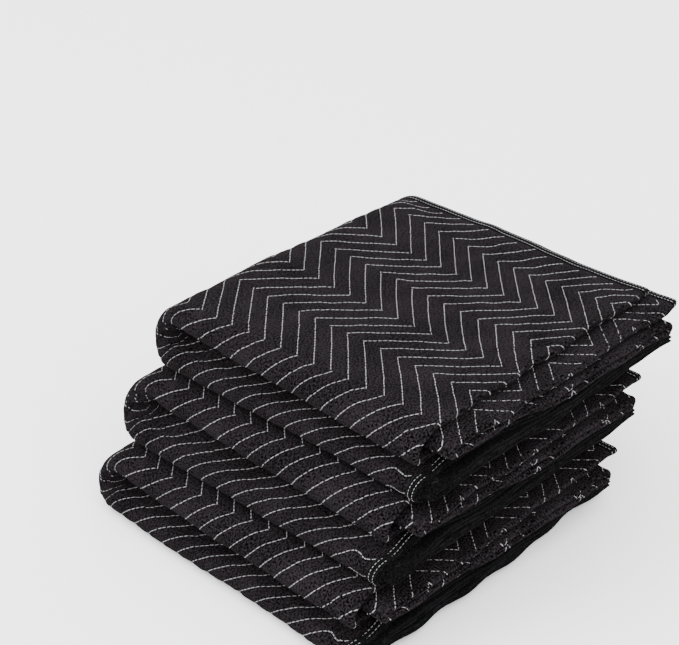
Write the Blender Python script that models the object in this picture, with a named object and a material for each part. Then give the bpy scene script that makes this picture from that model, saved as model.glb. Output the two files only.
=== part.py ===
"""Stack of three quilted moving blankets, each folded to sixteen layers and laid flat.

Each blanket is one quilted sheet with a tape bound round its rim. It is folded in four steps,
and the same steps place every point of the sheet and of its tape:
  1. the width is folded in half, so that two layers share one fold at +X,
  2. the length is folded in half twice, which rolls eight layers round a front fold,
  3. the width is folded in half again, round a spine at -X.
The top half of a blanket then shows four folds at +X, and its bottom half eight bound ends.

Metres, +Z up. The origin is under the middle of the stack's box, on the surface it rests on.
"""

import bisect
import math

import bmesh
import bpy
from mathutils import Vector
from mathutils.geometry import delaunay_2d_cdt

# Cloth and tape, in metres
PITCH = 0.00544            # from one layer of the pile to the next
CLOTH_HALF = 0.00225       # half of the quilted cloth's thickness
RIM_HALF = 0.0010          # half of its thickness where the tape pinches it
RIM_TAPER = 0.020          # distance from the rim over which the cloth thickens
TAPE_WIDTH = 0.013         # leg of the folded tape on each face of the cloth
TAPE_HALF = 0.0022         # half of the bound rim's thickness
CLEARANCE = 0.0003         # between two pieces that touch

# Quilting: zigzag stitch lines that run along the blanket's length
LINE_SPACING = 0.0280      # from one stitch line to the next, across the width
ZIGZAG = 0.0720            # swing of a line, and the length in which it swings
GROOVE = 0.0010            # depth to which a stitch line draws the cloth in
FIRST_LINE = 0.0078        # offset of the first line from the bound edge
ZIGZAG_START = -0.0026     # length along the cloth at which a line is nearest the +X fold

# The folded pile, with y measured from the first row of zigzag corners on the top face
SPINE_X = -0.207           # axis of the last fold
SPINE_SQUASH = 0.86        # height that is left at the spine
SQUASH_RUN = 0.110         # distance over which the pile thins towards the spine
FRONT_UPPER = -0.0103      # axis of the front roll in the top half
FRONT_LOWER = -0.0303      # and in the bottom half, which stands further out
FRONT_RUN = 0.035          # distance over which the pile thins towards the front
UPPER_SQUASH = 0.90        # height that is left at the top half's roll
LOWER_SQUASH = 0.74        # and at the bottom half's, which stays flat underneath
DROOP = 0.0030             # how far the top half's roll hangs down
SPINE_DROOP = 0.4          # part of that droop at the spine
STACK_CENTRE = (0.00331, 0.14205)   # middle of the stack's plan, moved to the origin

SPINE_STEPS = 7
UPPER = 0.411              # flat width of the run between the spine and the +X fold
LOWER = 0.430              # flat width of the run between the spine and the bound ends
SPINE = math.pi * 7.5 * PITCH
ROLL = 3.5 * PITCH + CLOTH_HALF     # half of the height of one half of the pile
SIDE_TURN = 0.0042         # flat width of half of the tight fold at +X
HALF_WIDTH = LOWER + SPINE + UPPER + SIDE_TURN
WIDTH = 2 * HALF_WIDTH

# Runs and turns along the length, from the bound edge on top to the bound edge inside.
# name, flat length, steps, level of the pair of layers in pitches, y of its back end
LENGTH_PIECES = (
    ("top run", 0.437, 0, 3, 0.427),
    ("outer front turn", 3.5 * math.pi * PITCH, 7, 3, 0),
    ("bottom run", 0.414, 0, -3, 0.404),
    ("back turn", 1.5 * math.pi * PITCH, 3, -3, 0.404),
    ("inner run", 0.414, 0, -1, 0.404),
    ("inner front turn", math.pi * PITCH, 2, -1, 0),
    ("tongue run", 0.453, 0, 1, 0.443),
)
PIECE_START = [sum(piece[1] for piece in LENGTH_PIECES[:i]) for i in range(len(LENGTH_PIECES))]
LENGTH = sum(piece[1] for piece in LENGTH_PIECES)

# Reach of the layers at +X, for each piece above, at its start, middle and end:
# the folds of the top half, then the bound ends of the bottom half
FOLD_REACH = (
    (0.194, 0.204, 0.215),
    (0.215, 0.212, 0.212),
    (0.212, 0.249, 0.248),
    (0.248, 0.248, 0.248),
    (0.248, 0.252, 0.257),
    (0.257, 0.257, 0.257),
    (0.257, 0.243, 0.227),
)
END_REACH = (
    (0.214, 0.219, 0.226),
    (0.226, 0.227, 0.226),
    (0.226, 0.243, 0.240),
    (0.240, 0.240, 0.240),
    (0.240, 0.244, 0.246),
    (0.246, 0.246, 0.246),
    (0.246, 0.242, 0.236),
)

# name, place of the blanket in the pile from the floor up, shift in x and y,
# and whether its whole top face is quilted or only the part that shows
BLANKETS = (
    ("bottom", 0, 0.001, -0.109, False),
    ("middle", 1, -0.004, -0.059, False),
    ("top", 2, 0.000, 0.000, True),
)
PILE_HALF = 7.5 * PITCH + CLOTH_HALF

CLOTH_COLOUR = (0.012, 0.011, 0.014, 1)
TAPE_COLOUR = (0.006, 0.006, 0.007, 1)


def mix(a, b, u):
    """Value a part u of the way from a to b."""
    return a + (b - a) * u


def find_piece(s):
    """Index of the run or turn at length s, and how far along it s lies, from 0 to 1."""
    i = max(0, bisect.bisect_right(PIECE_START, s) - 1)
    return i, (s - PIECE_START[i]) / LENGTH_PIECES[i][1]


def reach(table, s):
    """Reach of the layers at +X at length s."""
    i, u = find_piece(s)
    start, middle, end = table[i]
    return mix(start, middle, 2 * u) if u < 0.5 else mix(middle, end, 2 * u - 1)


def place_length(s, w, low):
    """Fold the length: y and level v of a point at height w above its pair of layers."""
    i, u = find_piece(s)
    name, _, _, level, back = LENGTH_PIECES[i]
    front = mix(FRONT_UPPER, FRONT_LOWER, low)
    angle = math.pi * u
    if name == "outer front turn":
        radius = 3 * PITCH + w
        return front - radius * math.sin(angle), radius * math.cos(angle)
    if name == "inner front turn":
        radius = PITCH - w
        return front - radius * math.sin(angle), -radius * math.cos(angle)
    if name == "back turn":
        radius = PITCH + w
        return back + radius * math.sin(angle), -2 * PITCH - radius * math.cos(angle)
    towards_front = name in ("top run", "inner run")
    y = mix(back, front, u) if towards_front else mix(front, back, u)
    return y, level * PITCH + (w if towards_front else -w)


def place_width(s, t, h):
    """Fold the width in half: distance q along the folded pair and height w above its middle.

    Distance q runs from the +X end of the top half, through the spine, to the bound ends.
    """
    side = 1 if t <= HALF_WIDTH else -1
    d = min(t, WIDTH - t)
    radius = PITCH / 2
    fold = SPINE_X - reach(FOLD_REACH, s)
    end = math.pi * 4 * PITCH + reach(END_REACH, s) - SPINE_X
    if d > HALF_WIDTH - SIDE_TURN:
        angle = math.pi / 2 * (HALF_WIDTH - d) / SIDE_TURN
        swing = radius + h
        return fold + radius - swing * math.cos(angle), side * swing * math.sin(angle)
    stops = (0.0, LOWER, LOWER + SPINE, HALF_WIDTH - SIDE_TURN)
    marks = (end, math.pi * 4 * PITCH, 0.0, fold + radius)
    k = min(2, bisect.bisect_right(stops, d) - 1) if d > 0 else 0
    q = mix(marks[k], marks[k + 1], (d - stops[k]) / (stops[k + 1] - stops[k]))
    return q, side * (radius + h)


def settle_front(q, y, v, low):
    """Level of a point once the front rolls have flattened and the top one has drooped."""
    ahead = mix(FRONT_UPPER, FRONT_LOWER, low) + FRONT_RUN - y
    squash = mix(1.0, mix(UPPER_SQUASH, LOWER_SQUASH, low), min(1.0, max(0.0, ahead / FRONT_RUN)))
    hang = DROOP * (1 - low) * min(1.0, max(0.0, ahead / (FRONT_RUN + ROLL)))
    hang *= mix(SPINE_DROOP, 1.0, min(1.0, max(0.0, -q / SQUASH_RUN)))
    return v * squash + low * (1 - squash) * ROLL - hang


def place_spine(q, v):
    """Fold the pile round its spine: x and z from the middle of the blanket's thickness."""
    level = 4 * PITCH + v
    turn = math.pi * 4 * PITCH
    if q <= 0:
        return SPINE_X - q, level
    if q >= turn:
        return SPINE_X + q - turn, -level
    angle = q / (4 * PITCH)
    return SPINE_X - level * math.sin(angle), level * math.cos(angle)


def place(s, t, h):
    """Place a point of the flat sheet, at height h above its middle, in a smooth fold."""
    q, w = place_width(s, t, h)
    low = min(1.0, max(0.0, q / (math.pi * 4 * PITCH)))
    y, v = place_length(s, w, low)
    x, z = place_spine(q, settle_front(q, y, v, low))
    z *= mix(SPINE_SQUASH, 1.0, min(1.0, max(0.0, (x - SPINE_X) / SQUASH_RUN)))
    return Vector((x, y, z))


def length_breaks():
    """Lengths at which the sheet's faces are split, so that they can turn."""
    breaks = {0.0, RIM_TAPER, LENGTH - RIM_TAPER, LENGTH}
    for (name, size, steps, _, back), start in zip(LENGTH_PIECES, PIECE_START):
        if steps:
            breaks.update(start + size * k / steps for k in range(steps + 1))
            continue
        thinning = size * FRONT_RUN / (back - FRONT_UPPER)
        towards_front = name in ("top run", "inner run")
        breaks.add(start + size - thinning if towards_front else start + thinning)
        if name != "inner run":
            breaks.add(start + size / 2)
    return sorted(breaks)


def width_breaks():
    """Widths at which the sheet's faces are split, so that they can turn."""
    lower_thinning = LOWER * SQUASH_RUN / (0.235 - SPINE_X)
    upper_thinning = UPPER * SQUASH_RUN / (0.215 - SPINE_X)
    half = [0.0, RIM_TAPER, LOWER - lower_thinning, LOWER + SPINE + upper_thinning]
    half += [LOWER + SPINE * k / SPINE_STEPS for k in range(SPINE_STEPS + 1)]
    half += [HALF_WIDTH - SIDE_TURN, HALF_WIDTH - SIDE_TURN / 3]
    return sorted(half + [WIDTH - t for t in half])


LENGTH_BREAKS = length_breaks()
WIDTH_BREAKS = width_breaks()


def cell(breaks, value):
    """The two breaks round a value, and how far it lies between them."""
    i = min(len(breaks) - 2, max(0, bisect.bisect_right(breaks, value) - 1))
    low, high = breaks[i], breaks[i + 1]
    return low, high, (value - low) / (high - low)


def fold(s, t, h):
    """Place a point of the flat sheet at height h, on the flat facets that make up its turns."""
    s0, s1, along = cell(LENGTH_BREAKS, s)
    t0, t1, across = cell(WIDTH_BREAKS, t)
    near = place(s0, t0, h).lerp(place(s1, t0, h), along)
    far = place(s0, t1, h).lerp(place(s1, t1, h), along)
    return near.lerp(far, across)


def half_thickness(s, t):
    """Half of the cloth's thickness: full inside, thin under the tape."""
    d = min(s, LENGTH - s, t, WIDTH - t)
    return mix(RIM_HALF, CLOTH_HALF, min(1.0, d / RIM_TAPER))


def quilted(s, t, whole_top):
    """Whether the stitch lines are raised here: on the faces that show, not on those that rest."""
    turn_start, turn_end = PIECE_START[1], PIECE_START[2]
    on_roll = turn_start <= s <= turn_end and RIM_TAPER <= t
    on_spine = whole_top and LOWER <= t <= LOWER + SPINE
    on_top = LOWER + SPINE <= t and (whole_top or s >= turn_start - ZIGZAG)
    shows = on_roll or on_spine or on_top
    return shows and RIM_TAPER <= s <= turn_end and t <= HALF_WIDTH - SIDE_TURN


def swing(s):
    """How far a stitch line has swung across the width at length s."""
    phase = ((s - ZIGZAG_START) / ZIGZAG) % 2
    return ZIGZAG * abs(1 - phase)


def groove_depth(s, t, whole_top):
    """Depth of the cloth's face below its crest at a point of the flat sheet."""
    if not quilted(s, t, whole_top):
        return 0.0
    across = (t - FIRST_LINE - swing(s)) / LINE_SPACING
    return GROOVE * (1 - 2 * abs(across - round(across)))


def stitch_edges(whole_top):
    """Straight stretches of the stitch lines and of the crests between them, where they show."""
    stations = {RIM_TAPER, PIECE_START[2]}
    first = math.ceil((RIM_TAPER - ZIGZAG_START) / ZIGZAG)
    last = math.floor((PIECE_START[2] - ZIGZAG_START) / ZIGZAG)
    stations.update(ZIGZAG_START + k * ZIGZAG for k in range(first, last + 1))
    stations.update(s for s in LENGTH_BREAKS if RIM_TAPER < s < PIECE_START[2])
    stations = sorted(stations)
    borders = [t for t in WIDTH_BREAKS if t < HALF_WIDTH]
    edges = []
    for n in range(-6, 2 * int(HALF_WIDTH / LINE_SPACING) + 2):
        offset = FIRST_LINE + n * LINE_SPACING / 2
        for s0, s1 in zip(stations, stations[1:]):
            t0, t1 = offset + swing(s0), offset + swing(s1)
            cuts = [0.0, 1.0] + [(b - t0) / (t1 - t0) for b in borders if min(t0, t1) < b < max(t0, t1)]
            cuts.sort()
            for a, b in zip(cuts, cuts[1:]):
                middle = (a + b) / 2
                if quilted(mix(s0, s1, middle), mix(t0, t1, middle), whole_top):
                    edges.append([(mix(s0, s1, u), mix(t0, t1, u)) for u in (a, b)])
    return edges


def grid_edges(lengths, widths):
    """Edges of the flat sheet's fold grid."""
    rows = [[(s, 0.0), (s, WIDTH)] for s in lengths]
    return rows + [[(0.0, t), (LENGTH, t)] for t in widths]


def triangulate(edges, rim=()):
    """Triangulate the flat sheet along the given edges.

    Returns its points, its faces and its rim, which are the indices of its outline in order.
    """
    points, index, pairs = [], {}, []
    for edge in edges:
        pair = []
        for point in edge:
            key = (round(point[0], 7), round(point[1], 7))
            if key not in index:
                index[key] = len(points)
                points.append(Vector(key))
            pair.append(index[key])
        if pair[0] != pair[1]:
            pairs.append(pair)
    points.extend(Vector(point) for point in rim)
    verts, _, faces, _, _, _ = delaunay_2d_cdt(points, pairs, [], 0, 1e-6)
    near = 2e-6
    outline = [i for i, p in enumerate(verts)
               if min(p.x, p.y, LENGTH - p.x, WIDTH - p.y) < near]

    def turn(i):
        p = verts[i]
        if p.y < near:
            return 0, p.x
        if LENGTH - p.x < near:
            return 1, p.y
        if WIDTH - p.y < near:
            return 2, -p.x
        return 3, -p.y

    outline.sort(key=turn)
    return verts, faces, outline


def sheet_mesh(name, whole_top):
    """The quilted sheet, cut flat, and then folded into its pile."""
    grid = grid_edges(LENGTH_BREAKS, WIDTH_BREAKS)
    face_points, faces, face_rim = triangulate(grid + stitch_edges(whole_top))
    rim_points = [face_points[i].copy() for i in face_rim]
    back_points, back_faces, back_rim = triangulate(grid, rim_points)
    bm = bmesh.new()
    outer = [bm.verts.new(fold(p.x, p.y, half_thickness(p.x, p.y) - groove_depth(p.x, p.y, whole_top)))
             for p in face_points]
    inner = [bm.verts.new(fold(p.x, p.y, -half_thickness(p.x, p.y))) for p in back_points]
    for face in faces:
        bm.faces.new([outer[i] for i in face])
    for face in back_faces:
        bm.faces.new([inner[i] for i in reversed(face)])
    count = len(face_rim)
    for k in range(count):
        a, b = face_rim[k], face_rim[(k + 1) % count]
        c, d = back_rim[(k + 1) % count], back_rim[k]
        bm.faces.new((outer[b], outer[a], inner[d], inner[c]))
    bmesh.ops.dissolve_limit(bm, angle_limit=math.radians(0.05), verts=bm.verts, edges=bm.edges)
    bmesh.ops.triangulate(bm, faces=bm.faces)
    bmesh.ops.recalc_face_normals(bm, faces=bm.faces)
    mesh = bpy.data.meshes.new(name)
    bm.to_mesh(mesh)
    bm.free()
    return mesh


def tape_section():
    """Outline of the folded tape: distance in from the cloth's rim, and height."""
    lip = -CLEARANCE - 0.0008
    root = RIM_HALF + CLEARANCE
    return ((TAPE_WIDTH, TAPE_HALF), (lip, TAPE_HALF), (lip, -TAPE_HALF),
            (TAPE_WIDTH, -TAPE_HALF), (-CLEARANCE, -root), (-CLEARANCE, root))


def tape_point(s, t, inward, height):
    """Place a point of the tape that is bound on the rim at the flat point (s, t)."""
    at_start, at_end = s < 1e-9, s > LENGTH - 1e-9
    at_left, at_right = t < 1e-9, t > WIDTH - 1e-9
    s += inward * (at_start - at_end)
    t += inward * (at_left - at_right)
    return fold(s, t, height)


def tape_mesh(name):
    """The tape that binds the sheet's rim, mitred at its four corners."""
    lengths = [s for s in LENGTH_BREAKS if s not in (RIM_TAPER, LENGTH - RIM_TAPER)]
    widths = [t for t in WIDTH_BREAKS if t not in (RIM_TAPER, WIDTH - RIM_TAPER)]
    stations = [(s, 0.0) for s in lengths[:-1]]
    stations += [(LENGTH, t) for t in widths[:-1]]
    stations += [(s, WIDTH) for s in reversed(lengths[1:])]
    stations += [(0.0, t) for t in reversed(widths[1:])]
    bm = bmesh.new()
    rings = [[bm.verts.new(tape_point(s, t, d, h)) for d, h in tape_section()] for s, t in stations]
    for ring, following in zip(rings, rings[1:] + rings[:1]):
        for k in range(len(ring)):
            n = (k + 1) % len(ring)
            bm.faces.new((ring[k], ring[n], following[n], following[k]))
    bmesh.ops.triangulate(bm, faces=bm.faces)
    bmesh.ops.recalc_face_normals(bm, faces=bm.faces)
    mesh = bpy.data.meshes.new(name)
    bm.to_mesh(mesh)
    bm.free()
    return mesh


def material(name, colour, roughness):
    """A Principled material for one piece."""
    made = bpy.data.materials.new(name)
    made.use_nodes = True
    shader = made.node_tree.nodes["Principled BSDF"]
    shader.inputs["Base Color"].default_value = colour
    shader.inputs["Roughness"].default_value = roughness
    shader.inputs["Metallic"].default_value = 0.0
    made.diffuse_color = colour
    return made


def add_piece(mesh, collection, place, finish):
    """Add one piece of a blanket at its place in the stack."""
    piece = bpy.data.objects.new(mesh.name, mesh)
    collection.objects.link(piece)
    piece.location = place
    mesh.materials.append(finish)


def build():
    """Build the three blankets, each a sheet and its tape."""
    for old in list(bpy.data.objects):
        bpy.data.objects.remove(old, do_unlink=True)
    collection = bpy.data.collections.new("stack_of_moving_blankets")
    bpy.context.scene.collection.children.link(collection)
    for name, rank, shift_x, shift_y, whole_top in BLANKETS:
        place = (shift_x - STACK_CENTRE[0], shift_y - STACK_CENTRE[1],
                 PILE_HALF + rank * (2 * PILE_HALF + CLEARANCE))
        cloth = sheet_mesh("blanket_" + name, whole_top)
        add_piece(cloth, collection, place, material("cloth_" + name, CLOTH_COLOUR, 0.9))
        tape = tape_mesh("binding_" + name)
        add_piece(tape, collection, place, material("tape_" + name, TAPE_COLOUR, 0.7))


build()
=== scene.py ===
"""Stack of three quilted moving blankets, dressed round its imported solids.

Every piece is laid out flat first, as cloth on a cutting table: s runs along the blanket's
length and t across its width. One fold plan then places cloth, tape and stitches alike.
Lengths are in metres and +Z is up.
"""

from __future__ import annotations

import logging
import math
from dataclasses import dataclass, field
from enum import Enum

import bmesh
import bpy
import numpy as np
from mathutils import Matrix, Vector

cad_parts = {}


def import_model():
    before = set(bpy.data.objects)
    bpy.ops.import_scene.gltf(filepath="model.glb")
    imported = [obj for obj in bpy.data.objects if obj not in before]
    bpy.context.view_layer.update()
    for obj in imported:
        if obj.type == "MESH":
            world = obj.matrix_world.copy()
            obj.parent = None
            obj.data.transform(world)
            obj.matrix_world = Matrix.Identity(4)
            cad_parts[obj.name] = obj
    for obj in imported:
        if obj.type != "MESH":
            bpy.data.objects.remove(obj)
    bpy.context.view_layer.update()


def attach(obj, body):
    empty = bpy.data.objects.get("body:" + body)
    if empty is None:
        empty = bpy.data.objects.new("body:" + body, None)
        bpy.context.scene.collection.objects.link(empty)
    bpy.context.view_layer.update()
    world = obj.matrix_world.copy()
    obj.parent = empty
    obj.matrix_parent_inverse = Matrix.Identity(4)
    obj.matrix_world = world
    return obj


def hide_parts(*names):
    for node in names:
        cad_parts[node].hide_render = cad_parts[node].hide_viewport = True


LOG = logging.getLogger("moving_blankets")
Array = np.ndarray
MILLIMETRE = 0.001


def smooth(value: Array) -> Array:
    """Ease a value that is clipped to the range from 0 to 1."""
    u = np.clip(value, 0.0, 1.0)
    return u * u * (3 - 2 * u)


def run(start: float, end: float, step: float) -> Array:
    """Even stations from start up to, but not at, end, no further apart than step."""
    count = max(1, math.ceil((end - start) / step - 1e-6))
    return start + (end - start) * np.arange(count) / count


def lattice(first: float, start: float, end: float, step: float) -> Array:
    """Stations on a lattice that passes through first, strictly between start and end."""
    low, high = math.ceil((start - first) / step + 0.2), math.floor((end - first) / step - 0.2)
    return first + step * np.arange(low, high + 1)


class Course(Enum):
    """One run or turn of the cloth along the blanket's length."""

    TOP_RUN = 0
    OUTER_TURN = 1
    BOTTOM_RUN = 2
    BACK_TURN = 3
    INNER_RUN = 4
    INNER_TURN = 5
    TONGUE_RUN = 6


@dataclass(frozen=True)
class Quilting:
    """Zigzag stitch lines that run along the blanket's length."""

    spacing: float = 0.0280
    swing: float = 0.0720
    first: float = 0.00918
    start: float = -0.0050
    depth: float = 0.0011
    spread: float = 0.0030

    def offset(self, s: Array) -> Array:
        """How far a line has swung across the width at length s."""
        phase = ((s - self.start) / self.swing) % 2
        return self.swing * np.abs(1 - phase)

    def rising(self, s: Array) -> Array:
        """Whether a line moves towards greater widths as the length grows."""
        return ((s - self.start) / self.swing) % 2 > 1

    def sink(self, s: Array, t: Array) -> Array:
        """Depth to which the lines draw the cloth's face in at flat points."""
        across = (t - self.first - self.offset(s)) / self.spacing
        away = np.abs(across - np.round(across)) * self.spacing / math.sqrt(2)
        return self.depth * np.exp(-(away / self.spread) ** 2)


@dataclass(frozen=True)
class Ripple:
    """A smooth uneven field over a plane, from a few seeded waves."""

    seed: int
    wavelength: float
    waves: int = 9

    def __call__(self, a: Array, b: Array) -> Array:
        """Value of the field, roughly from -1 to 1, at points a, b."""
        draw = np.random.default_rng(self.seed)
        total = np.zeros_like(a)
        for _ in range(self.waves):
            heading, phase = draw.uniform(0, 2 * math.pi, 2)
            size = self.wavelength * draw.uniform(0.7, 1.6)
            k = 2 * math.pi / size
            total += np.sin(k * (a * math.cos(heading) + b * math.sin(heading)) + phase)
        return total / math.sqrt(self.waves)


@dataclass(frozen=True)
class Crease:
    """A soft trough or ridge in the cloth's face, between two flat points.

    A negative height makes a trough and a positive one a ridge.
    """

    start: tuple[float, float]
    end: tuple[float, float]
    width: float
    height: float

    def __call__(self, s: Array, t: Array) -> Array:
        """Height that the crease adds at flat points."""
        ds, dt = self.end[0] - self.start[0], self.end[1] - self.start[1]
        size = math.hypot(ds, dt)
        along = ((s - self.start[0]) * ds + (t - self.start[1]) * dt) / size
        away = ((s - self.start[0]) * dt - (t - self.start[1]) * ds) / size
        beyond = along - np.clip(along, self.width, size - self.width)
        return self.height * np.exp(-(away ** 2 + beyond ** 2) / self.width ** 2)


CREASES = (
    # pinched pleat at the spine's front corner
    Crease((0.478, 0.578), (0.462, 0.500), 0.0046, -0.0050),
    Crease((0.490, 0.525), (0.470, 0.470), 0.0046, -0.0044),
    Crease((0.485, 0.548), (0.465, 0.488), 0.0040, 0.0028),
    Crease((0.500, 0.500), (0.484, 0.450), 0.0042, -0.0038),
    Crease((0.492, 0.476), (0.474, 0.444), 0.0040, 0.0024),
    Crease((0.478, 0.455), (0.494, 0.425), 0.0038, -0.0034),
    Crease((0.488, 0.600), (0.474, 0.555), 0.0042, 0.0022),
    # crumples on the lower roll
    Crease((0.470, 0.415), (0.488, 0.385), 0.0040, -0.0040),
    Crease((0.478, 0.398), (0.493, 0.362), 0.0038, 0.0026),
    Crease((0.466, 0.380), (0.486, 0.345), 0.0042, -0.0034),
    Crease((0.481, 0.352), (0.497, 0.310), 0.0040, -0.0032),
    Crease((0.462, 0.330), (0.473, 0.290), 0.0046, -0.0024),
    Crease((0.488, 0.292), (0.502, 0.250), 0.0040, -0.0028),
    Crease((0.486, 0.240), (0.500, 0.190), 0.0044, -0.0024),
    Crease((0.490, 0.145), (0.502, 0.095), 0.0040, -0.0024),
    # soft bends of the upper roll
    Crease((0.452, 0.600), (0.474, 0.640), 0.0060, -0.0012),
    Crease((0.470, 0.760), (0.476, 0.840), 0.0060, -0.0010),
    # crumpled right end of the upper roll
    Crease((0.455, 0.928), (0.485, 0.950), 0.0042, -0.0038),
    Crease((0.447, 0.947), (0.478, 0.965), 0.0038, 0.0026),
    Crease((0.470, 0.912), (0.492, 0.936), 0.0040, -0.0032),
    # short pulls in the top face, beside its fold
    Crease((0.250, 0.935), (0.205, 0.963), 0.0060, -0.0020),
    Crease((0.215, 0.930), (0.180, 0.958), 0.0060, -0.0015),
    Crease((0.300, 0.944), (0.262, 0.966), 0.0050, -0.0016),
    Crease((0.120, 0.940), (0.080, 0.955), 0.0060, -0.0012),
)


@dataclass(frozen=True)
class FoldPlan:
    """How a flat blanket is folded to sixteen layers, with its sizes.

    The width is folded in half, the length in half twice round the front, and the width
    in half again round a spine at -X.
    """

    pitch: float = 0.00544
    cloth_half: float = 0.00225
    rim_half: float = 0.0010
    rim_taper: float = 0.020
    spine_x: float = -0.207
    front_upper: float = -0.0103
    front_lower: float = -0.0303
    upper: float = 0.411
    lower: float = 0.430
    side_turn: float = 0.0042
    spine_squash: float = 0.80
    spine_rise: tuple[float, float] = (0.03, 0.20)
    spine_run: float = 0.150
    upper_squash: float = 0.90
    upper_run: float = 0.045
    lower_squash: float = 0.70
    lower_run: float = 0.056
    droop: float = 0.0062
    droop_span: tuple[float, float] = (0.0163, -0.0157)
    right_droop: float = 0.0030
    right_reach: float = 0.0085
    right_span: tuple[float, float] = (0.10, 0.40)
    pocket: float = 0.014
    pocket_run: float = 0.10
    sag: float = 1.0
    sag_run: float = 0.250
    sag_shift: float = 0.059
    spine_droop: float = 0.25
    spine_droop_run: float = 0.060
    back_ends: tuple[float, ...] = (0.427, 0.0, 0.404, 0.404, 0.404, 0.0, 0.443)
    runs: tuple[float, ...] = (0.437, 0.414, 0.414, 0.453)
    reach_marks: tuple[float, ...] = (0.0, 0.218, 0.437, 0.497, 0.704, 0.917, 1.150, 1.365, 1.594, 1.8206)
    fold_reach: tuple[float, ...] = (0.194, 0.203, 0.214, 0.211, 0.246, 0.243, 0.246, 0.246, 0.238, 0.228)
    end_reach: tuple[float, ...] = (0.206, 0.216, 0.226, 0.226, 0.234, 0.230, 0.236, 0.240, 0.234, 0.226)
    edge_wander: float = 0.0026
    seed: int = 0

    @property
    def spine(self) -> float:
        """Flat width of the turn round the spine."""
        return math.pi * 7.5 * self.pitch

    @property
    def half_width(self) -> float:
        """Half of the flat blanket's width."""
        return self.lower + self.spine + self.upper + self.side_turn

    @property
    def width(self) -> float:
        """Width of the flat blanket."""
        return 2 * self.half_width

    @property
    def spine_turn(self) -> float:
        """Length of the turn round the spine, along the middle of a half's pile."""
        return math.pi * 4 * self.pitch

    @property
    def run_lengths(self) -> tuple[float, ...]:
        """Flat length of each course, its turns to the nearest hundredth of a mm."""
        outer, back, inner = (round(math.pi * layers * self.pitch, 5) for layers in (3.5, 1.5, 1.0))
        top, bottom, middle, tongue = self.runs
        return top, outer, bottom, back, middle, inner, tongue

    @property
    def length(self) -> float:
        """Length of the flat blanket."""
        return sum(self.run_lengths)

    @property
    def starts(self) -> Array:
        """Length at which each course starts."""
        return np.concatenate([[0.0], np.cumsum(self.run_lengths)[:-1]])

    @property
    def pile_half(self) -> float:
        """Half of the folded blanket's thickness."""
        return 7.5 * self.pitch + self.cloth_half

    def across(self, s: Array, t: Array, h: Array) -> tuple[Array, Array]:
        """Fold the width in half.

        Args:
            s: lengths of the flat points.
            t: widths of the flat points.
            h: heights above the middle of the cloth.

        Returns:
            The distance along the folded pair, from its fold to its bound ends, and the
            height above the pair's middle.
        """
        side = np.where(t <= self.half_width, 1.0, -1.0)
        d = np.minimum(t, self.width - t)
        radius = self.pitch / 2
        wander = self.edge_wander * Ripple(60 + self.seed, 0.09)(s, np.zeros_like(s))
        fold = self.spine_x - wander - np.interp(s, self.reach_marks, self.fold_reach)
        turn = self.spine_turn
        wander = self.edge_wander * Ripple(70 + self.seed, 0.11)(s, np.zeros_like(s))
        end = turn + wander + np.interp(s, self.reach_marks, self.end_reach) - self.spine_x
        low_end, spine_end, flat_end = self.lower, self.lower + self.spine, self.half_width - self.side_turn
        q = np.where(d < low_end, end + (turn - end) * d / low_end, 0.0)
        on_spine = (d >= low_end) & (d < spine_end)
        q = np.where(on_spine, turn * (spine_end - d) / (spine_end - low_end), q)
        q = np.where(d >= spine_end, (fold + radius) * (d - spine_end) / (flat_end - spine_end), q)
        w = side * (radius + h)
        angle = math.pi / 2 * (self.half_width - d) / self.side_turn
        turning = d > flat_end
        q = np.where(turning, fold + radius - (radius + h) * np.cos(angle), q)
        return q, np.where(turning, w * np.sin(np.clip(angle, 0, math.pi / 2)), w)

    def right(self, q: Array) -> Array:
        """How near a point is to the right end of the top half, from 0 to 1."""
        first, last = self.right_span
        return smooth((-q - first) / (last - first))

    def front(self, q: Array, low: Array) -> Array:
        """Place of the front rolls' axis, which stands further out towards the right."""
        upper = self.front_upper - self.right_reach * self.right(q)
        return upper + (self.front_lower - upper) * low

    def along(self, s: Array, q: Array, w: Array, low: Array) -> tuple[Array, Array]:
        """Fold the length in half twice.

        Args:
            s: lengths of the flat points.
            q: distances along the folded pair.
            w: heights above the middle of the folded pair.
            low: 0 in the blanket's top half, 1 in its bottom half, and between at the spine.

        Returns:
            The y of each point, and its level from the middle of its half.
        """
        p = self.pitch
        front = self.front(q, low)
        inner = front + self.pocket * (1 - low) * smooth(-q / self.pocket_run)
        which = np.clip(np.searchsorted(self.starts, s, side="right") - 1, 0, 6)
        u = (s - self.starts[which]) / np.array(self.run_lengths)[which]
        back = np.array(self.back_ends)[which]
        angle = math.pi * u
        y, v = np.zeros_like(s), np.zeros_like(s)
        table = {
            Course.TOP_RUN: (back + (front - back) * u, 3 * p + w),
            Course.OUTER_TURN: (front - (3 * p + w) * np.sin(angle), (3 * p + w) * np.cos(angle)),
            Course.BOTTOM_RUN: (front + (back - front) * u, -3 * p - w),
            Course.BACK_TURN: (back + (p + w) * np.sin(angle), -2 * p - (p + w) * np.cos(angle)),
            Course.INNER_RUN: (back + (inner - back) * u, -p + w),
            Course.INNER_TURN: (inner - (p - w) * np.sin(angle), -(p - w) * np.cos(angle)),
            Course.TONGUE_RUN: (inner + (back - inner) * u, p - w),
        }
        for course, (course_y, course_v) in table.items():
            here = which == course.value
            y, v = np.where(here, course_y, y), np.where(here, course_v, v)
        return y, v

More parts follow.
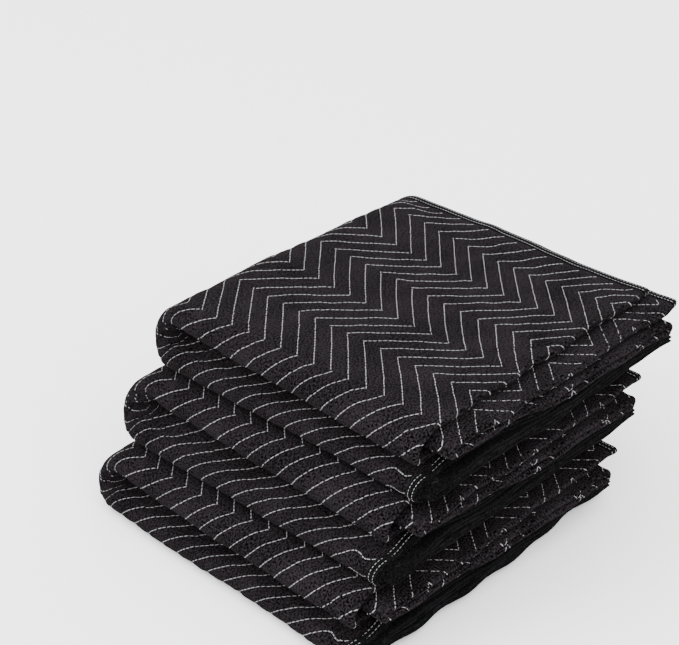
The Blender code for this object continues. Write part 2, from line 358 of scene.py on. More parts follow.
    def settle_front(self, q: Array, y: Array, v: Array, low: Array) -> Array:
        """Flatten the front rolls under their load, and let the upper one droop.

        Args:
            q: distances along the folded pair.
            y: places of the points along the folded length.
            v: their levels from the middle of each half.
            low: 0 in the blanket's top half and 1 in its bottom half.

        Returns:
            The settled levels.
        """
        roll = 3.5 * self.pitch + self.cloth_half
        axis = self.front(q, np.zeros_like(q))
        upper = (1 - self.upper_squash) * smooth((axis + self.upper_run - y) / self.upper_run)
        lower = (1 - self.lower_squash) * smooth((self.front_lower + self.lower_run - y) / self.lower_run)
        squash = 1 - upper - (lower - upper) * low
        start, end = self.droop_span
        fall = np.clip((axis + start - y) / (start - end), 0, 1)
        bend = 0.6 * fall + 0.4 * smooth(fall)
        hang = (self.droop + self.right_droop * self.right(q)) * (1 - low) * bend
        hang *= self.spine_droop + (1 - self.spine_droop) * smooth(-q / self.spine_droop_run)
        return v * squash + low * (1 - squash) * roll - hang

    def squeeze(self, x: Array, y: Array, reach: float) -> Array:
        """Share of the thickness lost to the pinch at the spine's front corner.

        Args:
            x: places of the points across the stack.
            y: their places along the folded length.
            reach: how far from the spine the pinch is felt.

        Returns:
            The share, which fades away from the spine and towards the back.
        """
        first, last = self.spine_rise
        depth = (1 - self.spine_squash) * (1 - smooth((y - first) / (last - first)))
        return depth * (1 - smooth((x - self.spine_x) / reach))

    def round_spine(self, q: Array, y: Array, v: Array) -> tuple[Array, Array]:
        """Fold the pile round its spine, which is pinched in front and full at the back.

        The upper half is pinched, and the lower half sags on to the pinched pad below.

        Args:
            q: distances along the folded pair.
            y: places of the points along the folded length.
            v: levels from the middle of each half.

        Returns:
            The x of each point, and its z from the middle of the blanket's thickness.
        """
        level = 4 * self.pitch + v
        turn = self.spine_turn
        angle = np.clip(q / (4 * self.pitch), 0, math.pi)
        x = self.spine_x - level * np.sin(angle)
        x = np.where(q < 0, self.spine_x - q, np.where(q > turn, self.spine_x + q - turn, x))
        z = level * np.cos(angle)
        thin = 1 - self.squeeze(x, y, self.spine_run)
        deep = 1 + self.sag * self.squeeze(x, y + self.sag_shift, self.sag_run)
        return x, z * np.where(z > 0, thin, deep)

    def place(self, flat: Array) -> Array:
        """Place flat points, as rows of s, t and height, in the folded blanket."""
        s, t, h = flat.T
        q, w = self.across(s, t, h)
        low = smooth(q / self.spine_turn)
        y, v = self.along(s, q, w, low)
        x, z = self.round_spine(q, y, self.settle_front(q, y, v, low))
        return np.stack([x, y, z], axis=1)

    def from_rim(self, s: Array, t: Array) -> Array:
        """Distance of flat points in from the cloth's rim."""
        return np.minimum(np.minimum(s, self.length - s), np.minimum(t, self.width - t))

    def half_thickness(self, s: Array, t: Array) -> Array:
        """Half of the cloth's thickness: full inside, thin under the tape."""
        full = np.clip(self.from_rim(s, t) / self.rim_taper, 0, 1)
        return self.rim_half + (self.cloth_half - self.rim_half) * full

    def along_stations(self, steps: tuple[float, ...]) -> Array:
        """Stations along the length, up to but not at its end, with a step for each course."""
        ends = np.append(self.starts[1:], self.length)
        return np.concatenate([run(*course) for course in zip(self.starts, ends, steps)])

    def across_stations(self, steps: tuple[float, ...]) -> Array:
        """Stations from the bound edge up to, but not at, the fold.

        Args:
            steps: the steps in the lower half, the spine, the upper half and the side turn.

        Returns:
            The stations as distances from the bound edge.
        """
        flat_end = self.half_width - self.side_turn
        stops = (0.0, self.lower, self.lower + self.spine, flat_end, self.half_width)
        return np.concatenate([run(*part) for part in zip(stops, stops[1:], steps)])


@dataclass(frozen=True)
class Drift:
    """How the cloth has slipped and pulled, so that its stitch rows bow and skew.

    Each row of terms holds the powers of the place across and along, and the shifts that
    they cause in mm across the width and back along the length. The terms were fitted by
    another script to the zigzag's corners, and report.md says so.
    """

    middle: tuple[float, float] = (0.1, 0.18)
    span: float = 0.2
    limit: float = 0.016
    terms: tuple[tuple[int, int, float, float], ...] = (
        (0, 0, 1.1, 6.8), (0, 1, 11.9, -10.7), (0, 2, 0.1, -4.8), (0, 3, -9.5, 6.8), (1, 0, -5.8, 14.0),
        (1, 1, -6.2, -1.6), (1, 2, -4.4, 2.0), (2, 0, -7.8, -2.6), (2, 1, -5.8, 7.1), (3, 0, 2.8, -12.1),
    )

    def __call__(self, x: Array, y: Array) -> tuple[Array, Array]:
        """Shifts in x and y of the cloth at x, y on the top face."""
        u = np.clip((x - self.middle[0]) / self.span, -1.5, 0.6)
        v = np.clip((y - self.middle[1]) / self.span, -1.2, 1.0)
        across, back = np.zeros_like(u), np.zeros_like(u)
        for i, k, shift_x, shift_y in self.terms:
            wave = MILLIMETRE * u ** i * v ** k
            across, back = across + shift_x * wave, back + shift_y * wave
        return self.limit * np.tanh(across / self.limit), self.limit * np.tanh(back / self.limit)


@dataclass(frozen=True)
class Pile:
    """The whole stack: where each blanket lies, and how the soft pile has settled."""

    centre: tuple[float, float] = (0.00331, 0.14205)
    clearance: float = 0.0003
    height: float = 0.2589

    def settle(self, points: Array) -> Array:
        """Lean and dent the whole pile gently, without moving what touches the floor."""
        x, y, z = points.T
        rise = np.clip(z / self.height, 0, 1)
        out = points.copy()
        out[:, 2] += rise * (0.0011 * Ripple(11, 0.16)(x, y) + 0.0005 * Ripple(14, 0.05)(x, y))
        out[:, 1] += 0.0016 * Ripple(12, 0.20)(x, z * 1.5)
        out[:, 0] += 0.0013 * Ripple(13, 0.20)(y, z * 1.5)
        return out


@dataclass(frozen=True)
class Weave:
    """Fine plain weave that several cloths share, as a shader node group."""

    name: str = "weave"
    distortion: float = 1.2
    thread_detail: float = 1.0
    thread_detail_scale: float = 0.6
    slub_scale: float = 460.0
    slub_detail: float = 2.0

    def group(self) -> bpy.types.NodeTree:
        """Build the group once: threads as height, and slubs as a mask."""
        tree = bpy.data.node_groups.get(self.name)
        if tree:
            return tree
        tree = bpy.data.node_groups.new(self.name, "ShaderNodeTree")
        face = tree.interface
        face.new_socket("Flat", in_out="INPUT", socket_type="NodeSocketVector")
        face.new_socket("Threads", in_out="INPUT", socket_type="NodeSocketFloat")
        face.new_socket("Height", in_out="OUTPUT", socket_type="NodeSocketFloat")
        face.new_socket("Slubs", in_out="OUTPUT", socket_type="NodeSocketFloat")
        nodes, links = tree.nodes, tree.links
        enter, leave = nodes.new("NodeGroupInput"), nodes.new("NodeGroupOutput")
        waves = []
        for direction in ("X", "Y"):
            wave = nodes.new("ShaderNodeTexWave")
            wave.wave_type, wave.bands_direction = "BANDS", direction
            wave.inputs["Distortion"].default_value = self.distortion
            wave.inputs["Detail"].default_value = self.thread_detail
            wave.inputs["Detail Scale"].default_value = self.thread_detail_scale
            links.new(enter.outputs["Flat"], wave.inputs["Vector"])
            links.new(enter.outputs["Threads"], wave.inputs["Scale"])
            waves.append(wave)
        cross = nodes.new("ShaderNodeMath")
        cross.operation = "MAXIMUM"
        links.new(waves[0].outputs["Fac"], cross.inputs[0])
        links.new(waves[1].outputs["Fac"], cross.inputs[1])
        links.new(cross.outputs[0], leave.inputs["Height"])
        slub = nodes.new("ShaderNodeTexNoise")
        slub.inputs["Scale"].default_value = self.slub_scale
        slub.inputs["Detail"].default_value = self.slub_detail
        links.new(enter.outputs["Flat"], slub.inputs["Vector"])
        links.new(slub.outputs["Fac"], leave.inputs["Slubs"])
        return tree


@dataclass(frozen=True)
class Finish:
    """A cloth, tape or thread finish, with its own values.

    Its colour runs from dark to light with the weave's slubs and with larger patches.
    """

    name: str
    dark: tuple[float, float, float]
    light: tuple[float, float, float]
    roughness: float
    threads: float
    relief: float
    sheen: float
    sheen_roughness: float = 0.45
    patch_scale: float = 14.0
    patch_detail: float = 5.0
    patch_roughness: float = 0.62
    slub_share: float = 0.80
    patch_share: float = 0.20
    dark_end: float = 0.42
    light_start: float = 0.60
    roughness_spread: float = 0.07
    relief_strength: float = 0.55

    def material(self) -> bpy.types.Material:
        """Build the material, which reads the piece's flat UV map."""
        made = bpy.data.materials.get(self.name)
        if made:
            return made
        made = bpy.data.materials.new(self.name)
        made.use_nodes = True
        nodes, links = made.node_tree.nodes, made.node_tree.links
        shader = nodes["Principled BSDF"]
        shader.inputs["Sheen Weight"].default_value = self.sheen
        shader.inputs["Sheen Roughness"].default_value = self.sheen_roughness
        shader.inputs["Specular IOR Level"].default_value = 0.0
        flat = nodes.new("ShaderNodeUVMap")
        flat.uv_map = "flat"
        weave = nodes.new("ShaderNodeGroup")
        weave.node_tree = Weave().group()
        weave.inputs["Threads"].default_value = self.threads
        links.new(flat.outputs["UV"], weave.inputs["Flat"])
        patches = nodes.new("ShaderNodeTexNoise")
        patches.inputs["Scale"].default_value = self.patch_scale
        patches.inputs["Detail"].default_value = self.patch_detail
        patches.inputs["Roughness"].default_value = self.patch_roughness
        links.new(flat.outputs["UV"], patches.inputs["Vector"])
        blend = nodes.new("ShaderNodeMath")
        blend.operation = "MULTIPLY_ADD"
        blend.inputs[1].default_value = self.slub_share
        links.new(weave.outputs["Slubs"], blend.inputs[0])
        cloudy = nodes.new("ShaderNodeMath")
        cloudy.operation = "MULTIPLY"
        cloudy.inputs[1].default_value = self.patch_share
        links.new(patches.outputs["Fac"], cloudy.inputs[0])
        links.new(cloudy.outputs[0], blend.inputs[2])
        ramp = nodes.new("ShaderNodeValToRGB")
        ramp.color_ramp.elements[0].position = self.dark_end
        ramp.color_ramp.elements[0].color = (*self.dark, 1)
        ramp.color_ramp.elements[1].position = self.light_start
        ramp.color_ramp.elements[1].color = (*self.light, 1)
        links.new(blend.outputs[0], ramp.inputs["Fac"])
        links.new(ramp.outputs["Color"], shader.inputs["Base Color"])
        rough = nodes.new("ShaderNodeMapRange")
        rough.inputs["To Min"].default_value = self.roughness - self.roughness_spread
        rough.inputs["To Max"].default_value = min(1.0, self.roughness + self.roughness_spread)
        links.new(weave.outputs["Slubs"], rough.inputs["Value"])
        links.new(rough.outputs["Result"], shader.inputs["Roughness"])
        raised = nodes.new("ShaderNodeBump")
        raised.inputs["Strength"].default_value = self.relief_strength
        raised.inputs["Distance"].default_value = self.relief
        links.new(weave.outputs["Height"], raised.inputs["Height"])
        links.new(raised.outputs["Normal"], shader.inputs["Normal"])
        return made


CLOTH = Finish(
    "quilted_cloth", dark=(0.0, 0.0, 0.0), light=(0.0150, 0.0124, 0.0141),
    roughness=0.90, threads=130.0, relief=0.0004, sheen=0.01)
TAPE = Finish(
    "binding_tape", dark=(0.0010, 0.0010, 0.0011), light=(0.0060, 0.0060, 0.0064),
    roughness=0.75, threads=210.0, relief=0.0003, sheen=0.01)
THREAD = Finish(
    "pale_thread", dark=(0.15, 0.147, 0.15), light=(0.25, 0.246, 0.25),
    roughness=0.75, threads=500.0, relief=0.0001, sheen=0.02)


def clear_selection() -> None:
    """Leave no object selected."""
    for item in bpy.context.selected_objects:
        item.select_set(False)
    bpy.context.view_layer.objects.active = None


def take_primitive(name: str) -> bpy.types.Object:
    """Name the primitive that was just added, and bare its mesh of old maps."""
    made = bpy.context.object
    made.name = made.data.name = name
    while made.data.uv_layers:
        made.data.uv_layers.remove(made.data.uv_layers[0])
    return made


def read_points(mesh: bpy.types.Mesh) -> Array:
    """Points of a mesh as rows of x, y, z."""
    points = np.empty(len(mesh.vertices) * 3)
    mesh.vertices.foreach_get("co", points)
    return points.reshape(-1, 3)


def write_points(mesh: bpy.types.Mesh, points: Array) -> None:
    """Move a mesh's points to new places."""
    mesh.vertices.foreach_set("co", np.ascontiguousarray(points).ravel())
    mesh.update()


def write_flat_map(mesh: bpy.types.Mesh, flat: Array) -> None:
    """Keep each point's place on the flat cloth as the piece's UV map, in metres."""
    layer = mesh.uv_layers.new(name="flat")
    corner = np.empty(len(mesh.loops), dtype=np.int64)
    mesh.loops.foreach_get("vertex_index", corner)
    layer.data.foreach_set("uv", flat[corner, :2].astype(np.float32).ravel())


@dataclass
class Blanket:
    """One folded blanket: its quilted cloth, its tape and their stitches."""

    name: str
    rank: int
    shift: tuple[float, float]
    seed: int
    open_top: bool
    plan: FoldPlan = field(default_factory=FoldPlan)
    quilt: Quilting = field(default_factory=Quilting)
    pile: Pile = field(default_factory=Pile)
    step: float = 0.004
    margin: float = 0.075
    slip: float = 0.026
    crease_scatter: float = 0.003
    tape_width: float = 0.013
    tape_half: float = 0.0022
    tape_rows: tuple[float, float] = (0.26, 0.74)
    tape_stitch: tuple[float, float, float] = (0.0036, 0.0011, 0.0008)
    tape_stitch_spacing: float = 0.0048
    tape_stitch_lift: float = 0.00035
    zigzag_stitch: tuple[float, float, float] = (0.0059, 0.0013, 0.0009)
    zigzag_stitch_spacing: float = 0.0060
    zigzag_stitch_lift: float = 0.00032
    floor_gap: float = 0.0012

    def fold(self, flat: Array) -> Array:
        """Place flat points, as rows of s, t and height, in the stack."""
        points = self.plan.place(self.drift(flat))
        half = self.plan.pile_half
        points[:, 0] += self.shift[0] - self.pile.centre[0]
        points[:, 1] += self.shift[1] - self.pile.centre[1]
        points[:, 2] += half + self.rank * (2 * half + self.pile.clearance)
        points = self.pile.settle(points)
        points[:, 2] = np.maximum(points[:, 2], 0.0)
        return points

    def drift(self, flat: Array) -> Array:
        """Let the flat cloth slip where it shows, but not at its bound edges."""
        plan = self.plan
        s, t, h = flat.T
        spine, half, turn = plan.lower + plan.spine, plan.half_width, plan.starts[2]
        roll = smooth((s - plan.starts[1] + 0.04) / 0.05) * smooth((turn + 0.08 - s) / 0.05)
        s = s + self.slip * roll * smooth((plan.lower + 0.04 - t) / 0.06) * smooth((t - 0.018) / 0.03)
        shift_x, shift_y = Drift()(plan.spine_x + t - spine, plan.back_ends[0] - s)
        hold = smooth((s - 0.018) / 0.030) * smooth((turn + 0.06 - s) / 0.06)
        hold *= smooth((t - plan.lower) / plan.spine) * smooth((half + 0.03 - t) / 0.03)
        return np.stack([s - hold * shift_y, t + hold * shift_x, h], axis=1)

    def lengths(self) -> Array:
        """Stations along the length: close where the cloth shows or turns."""
        plan, starts = self.plan, self.plan.starts
        shown = 0.0 if self.open_top else starts[1] - self.margin
        fine = lattice(self.quilt.start, shown, starts[2] + 0.006, self.step)
        before = [0.0] if self.open_top else run(0.0, fine[0], 3 * self.step)
        return np.concatenate([
            before, fine, run(fine[-1] + self.step, starts[3], 0.024), run(starts[3], starts[4], 0.0032),
            run(starts[4], starts[5], 0.024), run(starts[5], starts[6], 0.0028),
            run(starts[6], plan.length, 0.010), [plan.length]])

    def widths(self) -> Array:
        """Stations across the width: close where the cloth shows or turns."""
        plan, quilt = self.plan, self.quilt
        middle, turn = plan.half_width, plan.side_turn
        under = lattice(quilt.first, middle + turn, middle + 0.045, self.step)
        spine = plan.lower + plan.spine
        return np.concatenate([
            [0.0], lattice(quilt.first, 0.0, middle - turn, self.step),
            middle + turn * np.linspace(-1, 1, 11), under,
            run(under[-1] + self.step, middle + turn + plan.upper, 0.024),
            run(plan.width - spine, plan.width - plan.lower, 0.009),
            run(plan.width - plan.lower, plan.width, 0.024), [plan.width]])

    def flat_skin(self, rows: Array, columns: Array, height: float, name: str) -> bpy.types.Object:
        """Lay out one face of the flat cloth.

        Args:
            rows: stations along the length.
            columns: stations across the width.
            height: side of the cloth that the face is on.
            name: name of the object.

        Returns:
            The face as a mesh whose x is the length and whose y is the width.
        """
        clear_selection()
        m, n = len(rows), len(columns)
        bpy.ops.mesh.primitive_grid_add(x_subdivisions=m - 1, y_subdivisions=n - 1, size=1)
        skin = take_primitive(name)
        points = read_points(skin.data)
        i = np.rint((points[:, 0] + 0.5) * (m - 1)).astype(int)
        j = np.rint((points[:, 1] + 0.5) * (n - 1)).astype(int)
        write_points(skin.data, np.stack([rows[i], columns[j], np.full(len(points), height)], axis=1))
        return skin

    def hidden_face(self) -> bpy.types.Object:
        """Lay out the cloth's other face, which needs close stations only where it turns."""
        plan = self.plan
        rows = np.append(plan.along_stations((0.05, 0.008, 0.05, 0.005, 0.05, 0.004, 0.05)), plan.length)
        half = plan.across_stations((0.05, 0.012, 0.05, 0.0015))
        columns = np.concatenate([half, [plan.half_width], plan.width - half[::-1]])
        return self.flat_skin(rows, columns, -1.0, "inner_face_" + self.name)

    def split_squares(self, bm: bmesh.types.BMesh) -> None:
        """Split the face's squares along the zigzag lines, so that their grooves stay sharp."""
        faces = list(bm.faces)
        middle = np.array([face.calc_center_median().x for face in faces])
        rising = self.quilt.rising(middle)
        first, third = faces[0].verts[0].co, faces[0].verts[2].co
        even = "FIXED" if first.x <= third.x and first.y <= third.y else "ALTERNATE"
        odd = "ALTERNATE" if even == "FIXED" else "FIXED"
        for chosen, method in ((rising, even), (~rising, odd)):
            some = [face for face, yes in zip(faces, chosen) if yes]
            bmesh.ops.triangulate(bm, faces=some, quad_method=method)

    def flat_cloth(self) -> bpy.types.Object:
        """Lay out both faces of the flat cloth and join them round the rim."""
        outer = self.flat_skin(self.lengths(), self.widths(), 1.0, "quilted_" + self.name)
        inner = self.hidden_face()
        bm = bmesh.new()
        bm.from_mesh(outer.data)
        self.split_squares(bm)
        inner.data.flip_normals()
        bm.from_mesh(inner.data)
        bpy.data.objects.remove(inner, do_unlink=True)
        self.close_rim(bm)
        bmesh.ops.triangulate(bm, faces=[face for face in bm.faces if len(face.verts) > 3])
        bm.to_mesh(outer.data)
        bm.free()
        return outer

    def round_rim(self, s: float, t: float) -> float:
        """How far round the rim a flat point is, from 0 to 4 with 1 for each side."""
        length, width, near = self.plan.length, self.plan.width, 1e-6
        if t < near:
            return s / length
        if s > length - near:
            return 1 + t / width
        if t > width - near:
            return 2 + (length - s) / length
        return 3 + (width - t) / width

    def close_rim(self, bm: bmesh.types.BMesh) -> None:
        """Join the rims of the two faces with a strip, station by station round the cloth."""
        rim = [(self.round_rim(*point.co.xy), point) for point in bm.verts if point.is_boundary]
        rim.sort(key=lambda pair: pair[0])
        above = [pair for pair in rim if pair[1].co.z > 0]
        below = [pair for pair in rim if pair[1].co.z <= 0]
        above.append((above[0][0] + 4, above[0][1]))
        below.append((below[0][0] + 4, below[0][1]))
        i = j = 0
        while i < len(above) - 1 or j < len(below) - 1:
            if j == len(below) - 1 or (i < len(above) - 1 and above[i + 1][0] <= below[j + 1][0]):
                bm.faces.new((above[i][1], below[j][1], above[i + 1][1]))
                i += 1
            else:
                bm.faces.new((above[i][1], below[j][1], below[j + 1][1]))
                j += 1

    def face_height(self, s: Array, t: Array) -> Array:
        """Height of the quilted face above the middle of the cloth."""
        edge = self.plan.from_rim(s, t)
        sink = self.quilt.sink(s, t) * smooth((edge - self.tape_width) / 0.006)
        return self.plan.half_thickness(s, t) - sink + self.wrinkles(s, t) * smooth((edge - 0.016) / 0.010)

    def wrinkles(self, s: Array, t: Array) -> Array:
        """Height of the creases and soft puckers, where the cloth has room for them."""
        plan = self.plan
        draw = np.random.default_rng(self.seed + 90)
        total = np.zeros_like(s)
        for crease in CREASES:
            shift_s, shift_t = (0.0, 0.0) if self.open_top else draw.normal(0, self.crease_scatter, 2)
            total += crease(s - shift_s, t - shift_t)
        roll = smooth((s - plan.starts[1] + 0.02) / 0.03) * smooth((plan.starts[2] + 0.01 - s) / 0.02)
        before_fold = smooth((plan.half_width - 0.01 - t) / 0.02)
        free = roll * before_fold
        if self.open_top:
            top = smooth((plan.starts[1] + 0.01 - s) / 0.03) * smooth((t - plan.lower - plan.spine) / 0.03)
            free = np.maximum(free, 0.5 * top * before_fold)
        fine, broad = Ripple(20 + self.seed, 0.018), Ripple(40 + self.seed, 0.05)
        return total + (0.0005 * fine(s, t) + 0.0006 * broad(s, 0.5 * t)) * free

    def build_cloth(self) -> bpy.types.Object:
        """Fold the quilted cloth."""
        cloth = self.flat_cloth()
        flat = read_points(cloth.data)
        side = np.sign(flat[:, 2])
        s, t = flat[:, 0], flat[:, 1]
        thick = np.where(side > 0, self.face_height(s, t), self.plan.half_thickness(s, t))
        flat[:, 2] = side * thick
        write_flat_map(cloth.data, flat)
        write_points(cloth.data, self.fold(flat))
        self.dress(cloth, CLOTH)
        return cloth

    def dress(self, piece: bpy.types.Object, finish: Finish) -> None:
        """Give a piece its finish, shading and body."""
        piece.data.materials.clear()
        piece.data.materials.append(finish.material())
        piece.data.polygons.foreach_set("use_smooth", [True] * len(piece.data.polygons))
        piece.data.update()
        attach(piece, "root")

    def rim_walk(self) -> tuple[Array, Array]:
        """Stations round the rim of the flat cloth.

        Returns:
            The flat points, and at each the direction in from the rim, mitred at corners.
        """
        plan = self.plan
        rows = plan.along_stations((0.012, 0.0045, 0.015, 0.0035, 0.015, 0.003, 0.012))
        side = plan.across_stations((0.012, 0.006, 0.012, 0.0010))
        columns = np.concatenate([side, [plan.half_width], plan.width - side[:0:-1]])
        sides = (
            (rows, 0.0, (0, 1), (1, 0)),
            (columns, plan.length, (-1, 0), (0, 1)),
            (plan.length - rows, plan.width, (0, -1), (-1, 0)),
            (plan.width - columns, 0.0, (1, 0), (0, -1)),
        )
        walk, inward = [], []
        for k, (stations, fixed, away, mitre) in enumerate(sides):
            rim = np.full(len(stations), fixed)
            walk.append(np.stack([stations, rim] if k % 2 == 0 else [rim, stations], axis=1))
            direction = np.tile(away, (len(stations), 1)).astype(float)
            direction[0] += mitre
            inward.append(direction)
        return np.concatenate(walk), np.concatenate(inward)

    def tape_section(self) -> list[tuple[float, float]]:
        """Outline of the folded tape: distance in from the cloth's rim, and height."""
        w, h = self.tape_width, self.tape_half
        lip = [(w, h), (w * 0.74, h + 0.00005), (w * 0.5, h + 0.0003), (w * 0.26, h + 0.00005),
               (0.0012, h + 0.0002), (-0.0006, h * 0.80), (-0.0013, h * 0.32)]
        outside = lip + [(d, -x) for d, x in reversed(lip)]
        root = self.plan.rim_half + 0.0002
        return outside + [(w, -h + 0.0003), (-0.0002, -root), (-0.0002, root), (w, h - 0.0003)]

    def build_tape(self) -> bpy.types.Object:
        """Bind the rim with its folded tape."""
        # the grid closes on itself both ways: its seams are merged once it is folded
        walk, inward, section = (np.concatenate([rows, rows[:1]])
                                 for rows in (*self.rim_walk(), np.array(self.tape_section())))
        m, n = len(walk), len(section)
        clear_selection()
        bpy.ops.mesh.primitive_grid_add(x_subdivisions=n - 1, y_subdivisions=m - 1, size=1)
        tape = take_primitive("bound_tape_" + self.name)
        flat = np.zeros((m * n, 3))
        away = np.repeat(inward, n, axis=0) * np.tile(section[:, :1], (m, 1))
        flat[:, :2] = np.repeat(walk, n, axis=0) + away
        flat[:, 2] = np.tile(section[:, 1], m)
        write_flat_map(tape.data, flat)
        write_points(tape.data, self.fold(flat))
        bm = bmesh.new()
        bm.from_mesh(tape.data)
        bmesh.ops.remove_doubles(bm, verts=bm.verts, dist=1e-7)
        bmesh.ops.recalc_face_normals(bm, faces=bm.faces)
        bm.to_mesh(tape.data)
        bm.free()
        self.dress(tape, TAPE)
        return tape

    def shows(self, s: Array, t: Array) -> Array:
        """Whether the quilted face shows at flat points, and so needs its thread."""
        plan, starts = self.plan, self.plan.starts
        half = plan.half_width
        on_roll = (s > starts[1] - 0.012) & (s < starts[2] + 0.030) & (t < half + 0.02)
        spine = (t > plan.lower - 0.04) & (t < plan.lower + plan.spine + 0.02) & (s < starts[2] + 0.030)
        top = (t > plan.lower) & (t < half) & (s < starts[2])
        if not self.open_top:
            top &= (s > starts[1] - self.margin) | (t > half - 0.05)
        side = np.abs(t - half) < 0.022
        tongue = (t > half) & (t < half + 0.065) & (s > starts[6])
        inside = (s > 0.015) & (t > 0.015) & (s < plan.length - 0.015)
        return inside & (on_roll | spine | top | side | tongue)

    def thread_row(self, name: str, places: Array, size: tuple[float, float, float]) -> bpy.types.Object:
        """Sew rows of stitches, but none so low that the floor would hide them.

        Args:
            name: name of the object.
            places: rows of s, t, height and heading of each stitch on the flat cloth.
            size: length, width and thickness of a stitch.

        Returns:
            All the stitches as one folded mesh.
        """
        places = places[self.fold(places[:, :3])[:, 2] > self.floor_gap]
        clear_selection()
        bpy.ops.mesh.primitive_uv_sphere_add(segments=6, ring_count=3, radius=0.5)
        thread = take_primitive(name)
        bpy.ops.object.mode_set(mode="EDIT")
        bpy.ops.mesh.select_all(action="SELECT")
        bpy.ops.transform.rotate(value=math.pi / 2, orient_axis="Y", center_override=(0, 0, 0))
        bpy.ops.transform.resize(value=size, center_override=(0, 0, 0))
        bpy.ops.object.mode_set(mode="OBJECT")
        stitch = read_points(thread.data)
        copies = thread.modifiers.new("row", "ARRAY")
        copies.count = len(places)
        bpy.ops.object.modifier_apply(modifier=copies.name)
        heading = places[:, 3:4]
        s = places[:, :1] + stitch[:, 0] * np.cos(heading) - stitch[:, 1] * np.sin(heading)
        t = places[:, 1:2] + stitch[:, 0] * np.sin(heading) + stitch[:, 1] * np.cos(heading)
        flat = np.stack([s, t, places[:, 2:3] + stitch[:, 2]], axis=2).reshape(-1, 3)
        write_flat_map(thread.data, flat)
        write_points(thread.data, self.fold(flat))
        return thread

    def build_quilting(self) -> bpy.types.Object:
        """Sew the zigzag lines on the faces that show."""
        plan, quilt = self.plan, self.quilt
        draw = np.random.default_rng(self.seed)
        pitch = self.zigzag_stitch_spacing / math.sqrt(2)
        rows = []
        for n in range(-3, int(1.05 * plan.half_width / quilt.spacing) + 4):
            s = np.arange(draw.uniform(0, pitch), plan.length, pitch)
            s += draw.normal(0, 0.00015, len(s))
            t = quilt.first + n * quilt.spacing + quilt.offset(s) + draw.normal(0, 0.00022, len(s))
            heading = np.where(quilt.rising(s), math.pi / 4, -math.pi / 4) + draw.normal(0, 0.03, len(s))
            keep = self.shows(s, t)
            height = self.face_height(s, t) + self.zigzag_stitch_lift
            rows.append(np.stack([s, t, height, heading], axis=1)[keep])
        thread = self.thread_row("zigzag_thread_" + self.name, np.concatenate(rows), self.zigzag_stitch)
        self.dress(thread, THREAD)
        return thread

    def build_tape_thread(self) -> bpy.types.Object:
        """Sew the two rows that hold the tape, where they can show."""
        plan = self.plan
        draw = np.random.default_rng(self.seed + 50)
        across = np.arange(0.004, plan.width - 0.003, self.tape_stitch_spacing)
        roll = np.arange(plan.starts[1] - 0.05, plan.starts[2] + 0.05, self.tape_stitch_spacing)
        sides = ((across, 0.0, 1, math.pi / 2), (across, plan.length, -1, math.pi / 2), (roll, 0.0, 1, 0.0))
        rows = []
        for stations, fixed, way, heading in sides:
            for inward in self.tape_rows:
                for face in (1, -1):
                    rim = np.full(len(stations), fixed + way * inward * self.tape_width)
                    pair = (rim, stations) if heading else (stations, rim)
                    height = face * np.full(len(stations), self.tape_half + self.tape_stitch_lift)
                    turn = heading + draw.normal(0, 0.03, len(stations))
                    rows.append(np.stack([*pair, height, turn], axis=1))
        thread = self.thread_row("tape_thread_" + self.name, np.concatenate(rows), self.tape_stitch)
        self.dress(thread, THREAD)
        return thread

    def build(self, rests_on: str) -> None:
        """Build the blanket's pieces, hide the imported solids they stand in for, and log their faces."""
        cloth, tape = self.build_cloth(), self.build_tape()
        quilting, tape_thread = self.build_quilting(), self.build_tape_thread()
        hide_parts("blanket_" + self.name)
        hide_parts("binding_" + self.name)
        for piece in (cloth, tape, quilting, tape_thread):
            LOG.info("%s: %d faces", piece.name, len(piece.data.polygons))


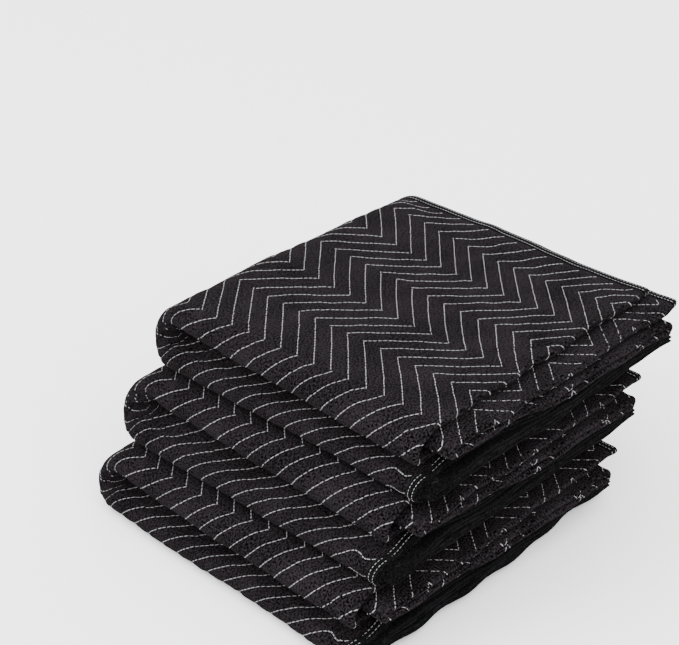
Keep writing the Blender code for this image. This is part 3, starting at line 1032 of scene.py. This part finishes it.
@dataclass(frozen=True)
class Studio:
    """Plain pale floor, soft light and the camera.

    Each light has its name, its place, its size and its power in watts.
    """

    target: tuple[float, float, float] = (-0.03033, -0.05785, 0.2587)
    distance: float = 2.0697
    azimuth: float = 44.83
    elevation: float = 29.45
    lens: float = 88.14
    floor_radius: float = 9
    floor_tone: float = 0.93
    floor_roughness: float = 0.9
    world_strength: float = 3.6
    lights: tuple[tuple[str, tuple[float, float, float], float, float], ...] = (
        ("key", (-1.6, -2.2, 2.6), 1.8, 90),
        ("fill", (2.4, -0.6, 2.2), 2.0, 30),
    )
    aim: tuple[float, float, float] = (0, 0, 0.1)

    def build(self) -> None:
        """Set up the floor, the lights, the world and the camera."""
        self.build_floor()
        self.build_lights()
        self.build_camera()

    def build_floor(self) -> None:
        """Lay a pale floor under the stack."""
        clear_selection()
        bpy.ops.mesh.primitive_circle_add(vertices=96, radius=self.floor_radius, fill_type="NGON")
        floor = take_primitive("floor")
        made = bpy.data.materials.new("pale_floor")
        made.use_nodes = True
        shader = made.node_tree.nodes["Principled BSDF"]
        shader.inputs["Base Color"].default_value = (self.floor_tone, self.floor_tone, self.floor_tone, 1)
        shader.inputs["Roughness"].default_value = self.floor_roughness
        floor.data.materials.append(made)

    def build_lights(self) -> None:
        """Hang large soft lights and fill the room with pale light."""
        world = bpy.data.worlds.new("studio")
        bpy.context.scene.world = world
        world.use_nodes = True
        back = world.node_tree.nodes["Background"]
        back.inputs["Color"].default_value = (1, 1, 1, 1)
        back.inputs["Strength"].default_value = self.world_strength
        for name, place, size, power in self.lights:
            light = bpy.data.lights.new(name, "AREA")
            light.size, light.energy = size, power
            holder = bpy.data.objects.new(name, light)
            holder.location = place
            holder.rotation_euler = (Vector(self.aim) - Vector(place)).to_track_quat("-Z", "Y").to_euler()
            bpy.context.scene.collection.objects.link(holder)

    def build_camera(self) -> None:
        """Point the camera as the photographer did."""
        a, e = math.radians(self.azimuth), math.radians(self.elevation)
        back = Vector((math.sin(a) * math.cos(e), -math.cos(a) * math.cos(e), math.sin(e)))
        lens = bpy.data.cameras.new("camera")
        lens.lens, lens.sensor_width, lens.sensor_fit = self.lens, 36, "HORIZONTAL"
        camera = bpy.data.objects.new("camera", lens)
        camera.location = Vector(self.target) + back * self.distance
        camera.rotation_euler = (-back).to_track_quat("-Z", "Y").to_euler()
        bpy.context.scene.collection.objects.link(camera)
        bpy.context.scene.camera = camera


def pile_up() -> tuple[Blanket, Blanket, Blanket]:
    """The three blankets, from the floor up, each with its own place for its upper roll.

    The lowest lies flat on the floor, so it does not sag.
    """
    low = FoldPlan(front_upper=-0.0120, right_reach=0.003, spine_run=0.22, sag=0.0, seed=3)
    mid = FoldPlan(front_upper=0.0, right_reach=0.003, spine_run=0.26, sag_run=0.21, sag_shift=0.050, seed=2)
    return (
        Blanket("bottom", 0, (0.001, -0.109), 3, False, low),
        Blanket("middle", 1, (-0.004, -0.059), 2, False, mid),
        Blanket("top", 2, (0.0, 0.0), 1, True),
    )


def main() -> None:
    """Build the studio and the three blankets."""
    logging.basicConfig(level=logging.INFO, format="%(name)s: %(message)s")
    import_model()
    Studio().build()
    bottom, middle, top = pile_up()
    bottom.build("floor")
    middle.build("blanket_bottom")
    top.build("blanket_middle")


if __name__ == "__main__":
    main()
